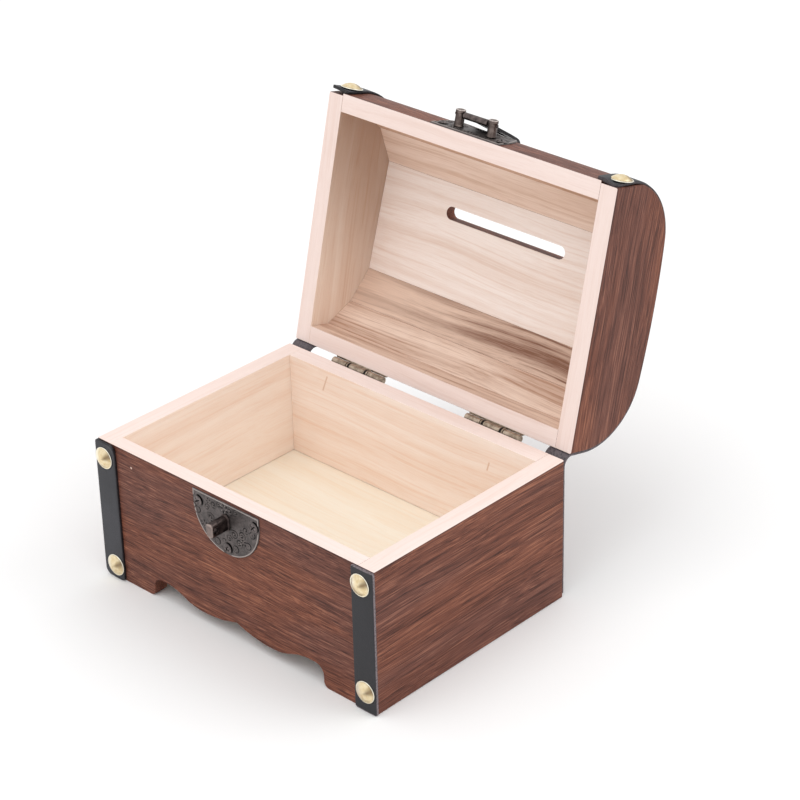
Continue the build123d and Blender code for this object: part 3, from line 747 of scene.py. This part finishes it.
def lid_path():
    """The lid's outline from its back to its front, with the lid shut."""
    lid_start = lid_rim + fold_reach
    places = straight((back_face, lid_start), (back_face, shoulder_centre), (1, 0), 2.0)
    centre = (lid_middle + shoulder_reach, shoulder_centre)
    places += arc(centre, shoulder_radius, 0.0, shoulder_slope, 22)
    places += arc((lid_middle, crown_centre), crown_radius, shoulder_slope, math.pi - shoulder_slope, 26)
    centre = (lid_middle - shoulder_reach, shoulder_centre)
    places += arc(centre, shoulder_radius, math.pi - shoulder_slope, math.pi, 22)
    front_end = (lid_front_face, lid_rim + strap_end_gap)
    return places + straight((lid_front_face, shoulder_centre), front_end, (-1, 0), 1.5)


def long_path():
    """The whole long strap's path in Y and Z, with the lid standing open."""
    lid_part = []
    for spot, outward in lid_path():
        turned = opened((0, spot.x, spot.y))
        way = opened_way((0, outward.x, outward.y))
        lid_part.append((Vector((turned.y, turned.z)), Vector((way.y, way.z))))
    run = opened_way((0, 0, 1))
    run = Vector((run.y, run.z))
    first = lid_part[0][0]
    corner = first - run * ((first.x - back_face) / run.x)
    reach = fold_radius * math.tan(lid_angle / 2)
    base_part = straight((back_face, long_strap_low.z), (back_face, corner.y - reach), (1, 0), 4.0)
    centre = (back_face + fold_radius, corner.y - reach)
    fold = arc(centre, fold_radius, math.pi, math.pi - lid_angle, 14, outward=-1)
    after = corner + run * reach
    lead = [(after.lerp(first, share), lid_part[0][1]) for share in (0.0, 0.5)]
    return base_part + fold + lead + lid_part


def sagging_push(across, length, total):
    """The right strap's end sinks on to the end board, which lies a little further back."""
    near = 1 - min(1.0, (total - length) / sag_length)
    return -sag_depth * near * clamped((across - sag_start) / sag_spread)


def lifted_push(across, length, total):
    """The left strap's end stands off at its outer corner."""
    near = 1 - min(1.0, (total - length) / lift_length)
    outer = clamped((lift_start - across) / lift_spread)
    return near ** 1.5 * (lift_least_share + (1 - lift_least_share) * outer)


def long_strap(name, side, label, push, corners):
    """One strap from the box's back over the lid, bent where the lid turns."""
    middle = side * (long_strap_low.x + long_strap_high.x) / 2
    width = long_strap_high.x - long_strap_low.x
    piece = strap_piece(name, middle, width, long_path(), push, corners, drawn_thin)
    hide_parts("base_back_strap_" + label, "strap_fold_" + label, "lid_strap_" + label)
    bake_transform(piece)


long_strap("long_strap_left", -1, "left", lifted_push, (strap_corner,) * 4)
long_strap("long_strap_right", 1, "right", sagging_push, (strap_corner,) * 4)


def upright(spot, outward, lid=False):
    """A frame for small fittings: its own Z points out of the surface."""
    outward = Vector(outward).normalized()
    across = Vector((1, 0, 0))
    turn = Matrix((across, outward.cross(across), outward)).transposed().to_4x4()
    matrix = Matrix.Translation(Vector(spot)) @ turn
    if lid:
        to_metres = Matrix.Scale(MM, 4)
        matrix = to_metres.inverted() @ swing @ to_metres @ matrix
    return matrix


def lathe(profile, steps):
    """A turned shape: a centre point, then rings from a list of radius and height."""
    points = [Vector((0, 0, profile[0][1]))]
    for radius, height in profile[1:]:
        for step in range(steps):
            turn = 2 * math.pi * step / steps
            points.append(Vector((radius * math.cos(turn), radius * math.sin(turn), height)))
    faces = [(0, 1 + step, 1 + (step + 1) % steps) for step in range(steps)]
    for face in ring_faces(len(profile) - 1, steps):
        faces.append(tuple(index + 1 for index in reversed(face)))
    return points, faces


# Dome tacks
tack_radius = 4.65
tack_rise = 2.1
tack_lip = 0.42
tack_lip_rise = 0.34
# Width of the flat ring round each tack that carries a painted shadow
tack_shade = 0.32

# Painted shade and a painted highlight on each dome, in wedges: a dark one to the upper right, a bright one
# to the left
shade_way = math.radians(28)
shade_narrowness = 12
painted_highlight_way = math.radians(165)
painted_highlight_narrowness = 4


def tack_profile():
    """A dome with a thin flat lip round it, and a flat ring just outside the lip that carries a painted
    shadow.
    """
    inner = tack_radius - tack_lip
    rise = tack_rise - tack_lip_rise
    ball = (inner ** 2 + rise ** 2) / (2 * rise)
    profile = []
    for step in range(13):
        radius = inner * step / 12
        profile.append((radius, tack_lip_rise + math.sqrt(ball ** 2 - radius ** 2) - ball + rise))
    lip = [(0.02, 0.02), (0.30, 0.05), (0.40, -0.04), (tack_lip, -0.16), (tack_lip, -0.24)]
    profile += [(inner + out, tack_lip_rise + up) for out, up in lip]
    return profile + [(tack_radius + tack_shade, 0.05), (tack_radius + tack_shade, 0.0)]


def tack_material(on_lid):
    """Pale brass with wear: turned rings, a bright lip, painted shade to one side, a painted highlight to the
    other, and black painted shadow under the lip and round it.
    """
    material, graph = new_material("tack_brass_lid" if on_lid else "tack_brass_box")
    place, _ = place_of(graph, on_lid)
    cloud = graph.speckle(place, 0.7, 3.0)
    colour = graph.mix(graph.smooth(cloud, 0.3, 0.7), srgb(226, 203, 158), srgb(242, 226, 190))
    # Painted highlight to the left
    colour = graph.mix(graph.drawn("painted_highlight"), colour, srgb(255, 250, 232))
    # Painted shade to the upper right
    colour = graph.mix(graph.times(graph.drawn("shade"), 0.85), colour, srgb(118, 96, 70))
    colour = graph.mix(graph.drawn("lip"), colour, srgb(252, 246, 228))
    # Painted shadow: black under the lip and on the ring round it
    colour = graph.mix(graph.drawn("foot"), colour, srgb(12, 10, 10))
    turned = graph.math("SINE", graph.times(graph.drawn("ring"), 40.0))
    grit = graph.speckle(place, 3)
    height = graph.plus(graph.times(turned, 0.3), grit)
    metallic = graph.minus(1.0, graph.drawn("foot"))
    graph.finish(colour, graph.spread(cloud, 0.24, 0.36), height, 0.02, Metallic=metallic)
    return material


def tacks(name, places, on_lid):
    """A group of dome tacks, each at its place, leaning by its own angle."""
    profile = tack_profile()
    all_points, all_faces = [], []
    values = {"shade": [], "painted_highlight": [], "lip": [], "foot": [], "ring": []}
    for spot, outward in places:
        matrix = upright(spot, outward, on_lid)
        points, faces = lathe(profile, 48)
        start = len(all_points)
        all_faces += [tuple(index + start for index in face) for face in faces]
        for point in points:
            radius = math.hypot(point.x, point.y)
            around = math.atan2(point.y, point.x)
            away = min(1.0, radius / (0.5 * tack_radius))
            # Painted shade and a painted highlight in wedges; painted shadow under the lip and on the ring
            # round it
            values["shade"].append(away * max(0.0, math.cos(around - shade_way)) ** shade_narrowness)
            values["painted_highlight"].append(0.8 * away * max(0.0, math.cos(around - painted_highlight_way)) ** painted_highlight_narrowness)
            values["lip"].append(clamped((radius - tack_radius + tack_lip) / 0.2))
            values["foot"].append(1.0 if radius > tack_radius + 0.01 or point.z < 0.12 else 0.0)
            values["ring"].append(radius / tack_radius)
            all_points.append(matrix @ point)
    piece = make_piece(name + "_domes", all_points, all_faces, tack_material(on_lid), values)
    stand_for(piece, "lid" if on_lid else "base", "tack_brass", name)


strap_front = front_face - strap_thickness - strap_crown / 2
lid_strap_front = lid_front_face - strap_thickness - strap_crown / 2
# Tacks on the box: side, height as a share of the box's, drift as a share of the strap's width
strap_middle = (front_strap_low.x + front_strap_high.x) / 2
strap_width = front_strap_high.x - front_strap_low.x
box_tack_shares = ((-1, 0.884, -0.046), (-1, 0.103, 0.115), (1, 0.885, -0.075), (1, 0.144, 0.017))
box_tack_places = [
    ((side * strap_middle + drift * strap_width, strap_front, rise * rim_height), (0, -1, 0))
    for side, rise, drift in box_tack_shares]
tacks("base_strap_tacks", box_tack_places, False)

# Tacks on the lid, in shares of the lid's height and its strap's width: each also sits its own
# millimetres back or forward, where its strap sags or lifts, and leans its own way
long_strap_middle = (long_strap_low.x + long_strap_high.x) / 2
long_strap_width = long_strap_high.x - long_strap_low.x
lid_tack_shares = ((-1, 0.161, 0.08), (1, 0.187, 0.16))
lid_tack_seats = ((-0.3, (-0.03, -1, 0.09)), (0.5, (0.10, -1, 0)))
lid_tack_places = []
for (side, rise, drift), (back, lean) in zip(lid_tack_shares, lid_tack_seats):
    height = lid_rim + rise * (lid_top - lid_rim)
    x = side * long_strap_middle + drift * long_strap_width
    lid_tack_places.append(((x, lid_strap_front + back, height), lean))
tacks("lid_strap_tacks", lid_tack_places, True)

# Cross-head screws
head_radius = 2.0
head_rise = 0.6
cross_half = 0.30
cross_reach = 1.25
cross_depth = 0.55


def screw_head(radius, rise, turn):
    """A low domed head with a cross recess, on a grid that follows the recess's edges."""
    cross = cross_half * radius / head_radius
    reach = cross_reach * radius / head_radius
    lines = [
        0.0, cross * 0.8, cross, cross * 1.6, reach * 0.75, reach, reach * 1.08,
        radius * 0.8, radius * 0.93, radius]
    lines = [-line for line in reversed(lines[1:])] + lines
    points, darks = [], []
    for v in lines:
        for u in lines:
            x = u * math.sqrt(1 - (v / radius) ** 2 / 2)
            y = v * math.sqrt(1 - (u / radius) ** 2 / 2)
            share = min(1.0, math.hypot(x, y) / radius)
            sunk = (min(abs(u), abs(v)) < cross * 0.9) and max(abs(u), abs(v)) < reach * 1.02
            height = rise * (1 - share ** 2.6) + 0.05
            if sunk:
                height -= cross_depth * (1 - max(abs(u), abs(v)) / reach * 0.5)
            turned_x = x * math.cos(turn) - y * math.sin(turn)
            turned_y = x * math.sin(turn) + y * math.cos(turn)
            points.append(Vector((turned_x, turned_y, height)))
            darks.append(1.0 if sunk else 0.0)
    count = len(lines)
    return points, ring_faces(count, count, closed=False), darks


def screw_material(name, dark, light):
    """Aged brass with black in its recess."""
    material, graph = new_material(name)
    place, _ = place_of(graph, False)
    spots = graph.speckle(place, 1.2, 3.0)
    colour = graph.mix(graph.smooth(spots, 0.35, 0.65), dark, light)
    colour = graph.mix(graph.drawn("recess"), colour, srgb(18, 15, 15))
    graph.finish(colour, graph.spread(spots, 0.32, 0.46), spots, 0.03, Metallic=1.0)
    return material


lock_screw_metal = screw_material("lock_screw_metal", srgb(92, 85, 84), srgb(128, 119, 117))
hinge_screw_metal = screw_material("hinge_screw_metal", srgb(92, 78, 58), srgb(146, 126, 94))


def screws(name, places, radius, rise, on_lid, material):
    """A group of screw heads, each turned its own way."""
    all_points, all_faces, recess = [], [], []
    for number, (spot, outward) in enumerate(places):
        matrix = upright(spot, outward, on_lid)
        points, faces, darks = screw_head(radius, rise, 0.5 + 1.9 * number)
        start = len(all_points)
        all_faces += [tuple(index + start for index in face) for face in faces]
        all_points += [matrix @ point for point in points]
        recess += darks
    piece = make_piece(name + "_heads", all_points, all_faces, material, {"recess": recess})
    stand_for(piece, "lid" if on_lid else "base", "screw_metal", name)


# Half-round lock plates
plate_radius = 18.0
plate_straight = 4.7
plate_thickness = 0.7
plate_screw_circle = 15.2
box_plate_low, box_plate_high = box_of("base_lock_plate")
lock_centre = (box_plate_low.x + box_plate_high.x) / 2
lid_plate_low = shut_box_of("lid_lock_plate")[0]
relief_rise = 0.34
relief_top = 1.1
relief_floor = 0.6
screw_places = ((-plate_screw_circle, 0.0), (plate_screw_circle, 0.0), (0.0, -plate_screw_circle))

# Ornament on a plate, from the middle of its circle, with its round side down: small rings beside the screws,
# scrolls by middle, size, turns and handedness, and two fans of petals
ring_places = ((-16.0, -4.2), (14.0, -4.0), (-5.6, -14.2), (4.4, -14.0), (11.4, -9.9))
scrolls = (
    (4.0, -7.6, 2.3, 2.0, 1), (8.2, -6.4, 2.4, 2.0, -1), (6.6, -10.6, 2.0, 1.7, -1),
    (10.4, -3.2, 1.8, 1.5, 1), (1.2, -10.4, 1.9, 1.6, -1), (-4.2, -8.4, 2.2, 1.9, -1),
    (-8.6, -5.0, 2.3, 2.0, 1), (-7.8, -10.2, 1.9, 1.6, 1), (-10.4, -1.2, 1.7, 1.5, -1),
    (-6.8, 1.4, 1.8, 1.5, 1), (-3.6, 2.4, 1.7, 1.5, -1), (2.2, 1.8, 1.8, 1.5, 1),
    (5.6, 2.6, 1.5, 1.4, -1), (-1.6, -12.4, 1.5, 1.4, 1))
fans = ((-0.8, 1.8, 2.4, 5), (-12.5, -9.3, 1.9, 6), (8.8, -9.4, 1.7, 5), (-9.6, 1.9, 1.5, 5))

# The grid that a plate's relief is drawn on
plate_columns = 150
plate_rows = 96

# Painted shadow in the gap round a screw is widest to the upper right, and the rings' outer hollows darken
# further that way as painted shade
painted_shadow_way = math.radians(35)


def bump(distance, width):
    """1 at no distance, falling smoothly to 0 at the width."""
    share = min(1.0, abs(distance) / width)
    return (1 - share ** 2) ** 2


def relief(u, v):
    """How far the pressed ornament stands up at a place on the plate, as a share of its rise."""
    border = min(plate_straight - v, plate_radius - (abs(u) if v > 0 else math.hypot(u, v)))
    height = relief_top * bump(border - 0.4, 0.5)
    for x, y in ring_places:
        radius = math.hypot(u - x, v - y)
        # The hollow outside each ring: patina, made deeper and darker toward the upper right as painted shade
        side = 0.5 + 0.5 * max(0.0, math.cos(math.atan2(v - y, u - x) - painted_shadow_way))
        ring = 0.5 * bump(radius - 0.8, 0.5) - 0.9 * side * bump(radius - 1.45, 0.4)
        height += ring - 0.6 * bump(radius, 0.4)
    for x, y, size, turns, hand in scrolls:
        radius, angle = math.hypot(u - x, v - y), math.atan2(v - y, u - x)
        wave = math.cos(2 * math.pi * turns * radius / size - hand * angle)
        height += 0.9 * wave * bump(radius, size * 1.2) ** 0.5
    for x, y, size, petals in fans:
        radius, angle = math.hypot(u - x, v - y), math.atan2(v - y, u - x)
        wave = math.cos(petals * angle)
        height += 0.9 * bump(radius - size * 0.6, size * 0.5) * wave + 0.6 * bump(radius, size * 0.25)
    for x, y in screw_places:
        radius, angle = math.hypot(u - x, v - y), math.atan2(v - y, u - x)
        # A crescent of painted shadow round each screw, widest to the upper right, which also sinks the plate
        # a little
        if radius < 3.0:
            height = -1.4 * bump(radius - head_radius - 0.2, 0.6) * max(0.0, math.cos(angle - painted_shadow_way))
    return min(height, relief_top)


def plate_spot(column, row):
    """A place of the grid that fills the plate's half-round outline."""
    u = plate_radius * math.sin(math.pi * (column / plate_columns - 0.5))
    low = -math.sqrt(max(0.0, plate_radius ** 2 - u ** 2))
    return u, low + (plate_straight - low) * row / plate_rows


def plate_piece(name, turn, surface, on_lid, material):
    """One relief plate with its edge, replacing the plain one."""
    across = plate_columns + 1
    points, reliefs = [], []
    for row in range(plate_rows + 1):
        for column in range(across):
            u, v = plate_spot(column, row)
            height = relief(u, v)
            points.append(surface(u, turn * v, max(-relief_floor, relief_rise * (height - relief_top))))
            reliefs.append(height)
    faces = ring_faces(plate_rows + 1, across, closed=False)
    if turn > 0:
        faces = [tuple(reversed(face)) for face in faces]
    bottom = list(range(across))
    right = [row * across + plate_columns for row in range(1, plate_rows + 1)]
    top = [plate_rows * across + column for column in range(plate_columns - 1, -1, -1)]
    left = [row * across for row in range(plate_rows - 1, 0, -1)]
    outline = bottom + right + top + left
    start = len(points)
    for index in outline:
        row, column = divmod(index, across)
        u, v = plate_spot(column, row)
        points.append(surface(u, turn * v, -plate_thickness))
        reliefs.append(0.0)
    count = len(outline)
    for step in range(count):
        after = (step + 1) % count
        face = (outline[step], start + step, start + after, outline[after])
        faces.append(face if turn < 0 else tuple(reversed(face)))
    if on_lid:
        points = [opened(point) for point in points]
    piece = make_piece(name + "_relief", points, faces, material, {"relief": reliefs})
    stand_for(piece, "lid" if on_lid else "base", "lock_metal", name)


def box_plate_surface(u, v, out):
    """The box's plate, which lies flat on the front."""
    return Vector((lock_centre + u, box_plate_low.y - out, box_plate_high.z - plate_straight + v))


def lid_plate_surface(u, v, out):
    """The lid's plate, which bends over the shoulder."""
    z = lid_plate_low.z + plate_straight + v
    radius = shoulder_radius + plate_thickness
    if z <= shoulder_centre:
        return Vector((lock_centre + u, lid_front_face - plate_thickness - out, z))
    tilt = math.asin((z - shoulder_centre) / radius)
    y = lid_middle - shoulder_reach - (radius + out) * math.cos(tilt)
    return Vector((lock_centre + u, y, shoulder_centre + (radius + out) * math.sin(tilt)))


def plate_material(on_lid):
    """Dark antique plate: black patina in the hollows, black painted shadow round the screws and on the
    rings' upper right, and grey with wear on the raised lines.
    """
    material, graph = new_material("lock_plate_lid" if on_lid else "lock_plate_box")
    place, _ = place_of(graph, on_lid)
    spots = graph.speckle(place, 0.45, 4.0, 0.6)
    grit = graph.speckle(place, 3.2, 2.0, 0.6)
    ground = graph.mix(graph.smooth(spots, 0.36, 0.66), srgb(84, 78, 77), srgb(110, 102, 100))
    ground = graph.mix(graph.times(graph.smooth(grit, 0.5, 0.66), 0.45), ground, srgb(48, 44, 44))
    raised = graph.drawn("relief")
    hollow = graph.smooth(graph.times(raised, -1.0), 0.08, 0.55)
    # Black in the hollows: patina, and painted shadow in the crescents round the screws
    colour = graph.mix(hollow, ground, srgb(16, 14, 14))
    colour = graph.mix(graph.times(graph.smooth(raised, 0.45, 1.0), 0.7), colour, srgb(190, 180, 175))
    graph.finish(colour, graph.spread(spots, 0.40, 0.54), grit, 0.03, Metallic=0.75)
    return material


plate_piece("base_lock_plate", 1, box_plate_surface, False, plate_material(False))
plate_piece("lid_lock_plate", -1, lid_plate_surface, True, plate_material(True))

# The heads sit a little into the plates
head_sink = -0.1
box_screw_spots = [(box_plate_surface(u, v, head_sink), (0, -1, 0)) for u, v in screw_places]
screws("base_lock_screws", box_screw_spots, head_radius, head_rise, False, lock_screw_metal)
lid_screw_rise = lid_plate_low.z + plate_straight + plate_screw_circle - shoulder_centre
lid_screw_tilt = math.asin(lid_screw_rise / (shoulder_radius + plate_thickness))
lid_screw_way = (0, -math.cos(lid_screw_tilt), math.sin(lid_screw_tilt))
lid_screw_spots = [
    (lid_plate_surface(-plate_screw_circle, 0, head_sink), (0, -1, 0)),
    (lid_plate_surface(plate_screw_circle, 0, head_sink), (0, -1, 0)),
    (lid_plate_surface(0, plate_screw_circle, head_sink), lid_screw_way)]
screws("lid_lock_screws", lid_screw_spots, head_radius, head_rise, True, lock_screw_metal)

# Hinge screws, two in each leaf
leaf_screw_reach = 9.0
leaf_screw_rise = 6.2
leaf_thickness = 0.8
leaf_head_radius = 1.5
leaf_head_rise = 0.5
hinge_z = lid_pivot.z / MM
for name, turn, on_lid in (("base_hinge_screws", -1, False), ("lid_hinge_screws", 1, True)):
    spots = []
    for side in (-1, 1):
        for reach in (-leaf_screw_reach, leaf_screw_reach):
            x = side * hinge_place + reach
            spots.append(((x, back_face + leaf_thickness, hinge_z + turn * leaf_screw_rise), (0, 1, 0)))
    screws(name, spots, leaf_head_radius, leaf_head_rise, on_lid, hinge_screw_metal)

# The two posts that carry the hasp's pin: radius and height down from a hollow cap with a rim
stud_profile = (
    (0.0, 6.38), (0.9, 6.40), (1.25, 6.50), (1.52, 6.68), (1.76, 6.72), (1.96, 6.62),
    (2.06, 6.40), (2.06, 5.60), (2.02, 5.35), (1.94, 5.20), (1.91, 4.9), (1.90, 3.9),
    (1.91, 2.6), (1.95, 1.2), (2.00, 0.5), (2.10, 0.2), (2.10, 0.0))


def stud_material():
    """Turned aged metal: painted shade toward the sides, which leaves a soft bright band, and a painted
    highlight round the cap's rim.
    """
    material, graph, place, colour, spots = metal_graph(
        "stud_metal", srgb(98, 86, 82), srgb(140, 126, 120), True)
    # Painted shade on the sides of the post
    colour = graph.mix(graph.times(graph.drawn("shade"), 0.8), colour, srgb(44, 37, 37))
    # Painted highlight round the cap's rim
    colour = graph.mix(graph.times(graph.drawn("painted_rim_highlight"), 0.8), colour, srgb(214, 202, 196))
    metal_finish(graph, place, colour, spots, 0.32)
    return material


stud_metal = stud_material()
# Painted shade on the posts falls across this way round them, which leaves a bright band along it
stud_band_way = math.radians(-40)
for name in ("hasp_post_left", "hasp_post_right"):
    stud_low, stud_high = shut_box_of(name)
    spot = ((stud_low.x + stud_high.x) / 2, lid_front_face - plate_thickness, (stud_low.z + stud_high.z) / 2)
    matrix = upright(spot, (0, -1, 0), True)
    points, faces = lathe(stud_profile, 40)
    values = {
        "painted_rim_highlight": [1.0 if point.z > 6.6 else 0.0 for point in points],
        "shade": [abs(math.sin(math.atan2(point.y, point.x) - stud_band_way)) ** 2 for point in points]}
    post = make_piece(name + "_turned", [matrix @ point for point in points], faces, stud_metal, values)
    stand_for(post, "lid", "lock_metal", name)


# Camera, worked out from the photograph's straight edges and placed from the box's front face
camera_place = Vector((0.614113, front_face * MM - 0.546278, 0.552570))
camera_right = Vector((0.72967, 0.68346, -0.02159))
camera_up = Vector((-0.31449, 0.36346, 0.87692))
camera_lens = 114.487


def make_camera():
    """The camera of the photograph."""
    data = bpy.data.cameras.new("camera")
    data.lens = camera_lens
    data.sensor_width = 36.0
    data.clip_start = 0.05
    data.clip_end = 50.0
    camera = placed("camera", data)
    back = camera_right.cross(camera_up)
    turned = Matrix((camera_right, camera_up, back)).transposed()
    camera.matrix_world = Matrix.Translation(camera_place) @ turned.to_4x4()
    bpy.context.scene.camera = camera


def make_world():
    """A white surround: full white where it is seen, softer where it only lights things."""
    world = bpy.data.worlds.new("studio")
    bpy.context.scene.world = world
    world.use_nodes = True
    graph = Graph(world.node_tree)
    path = graph.node("ShaderNodeLightPath")
    shown = graph.math("MAXIMUM", path.outputs["Is Camera Ray"], path.outputs["Is Glossy Ray"])
    shown = graph.math("MAXIMUM", shown, path.outputs["Is Transmission Ray"])
    strength = graph.spread(shown, ambient_strength, 1.0)
    shader = graph.node("ShaderNodeBackground", {"Color": (1, 1, 1, 1), "Strength": strength})
    graph.node("ShaderNodeOutputWorld", {"Surface": shader.outputs[0]})


def make_floor():
    """The plain pale floor."""
    reach = 4.0
    mesh = bpy.data.meshes.new("floor")
    corners = [(-reach, -reach, 0), (reach, -reach, 0), (reach, reach, 0), (-reach, reach, 0)]
    mesh.from_pydata(corners, [], [(0, 1, 2, 3)])
    floor = placed("floor", mesh)
    material, graph = new_material("floor_paper")
    graph.finish(srgb(254, 254, 254), 1.0, Specular_IOR_Level=0.0)
    paint(floor, material)


def make_lamp(name, place, size, power):
    """A soft round lamp that looks at the middle of the chest."""
    data = bpy.data.lights.new(name, "AREA")
    data.shape = "DISK"
    data.size = size
    data.energy = power
    lamp = placed(name, data)
    lamp.location = place
    lamp.rotation_mode = "QUATERNION"
    lamp.rotation_quaternion = (Vector((0, 0, 0.06)) - Vector(place)).to_track_quat("-Z", "Y")


ambient_strength = 0.90
make_camera()
make_world()
make_floor()
make_lamp("key", (-0.1, -0.8, 1.9), 1.6, 8.0)
make_lamp("back_fill", (1.2, 0.9, 1.3), 1.4, 6.0)
bpy.context.scene.view_settings.view_transform = "Standard"
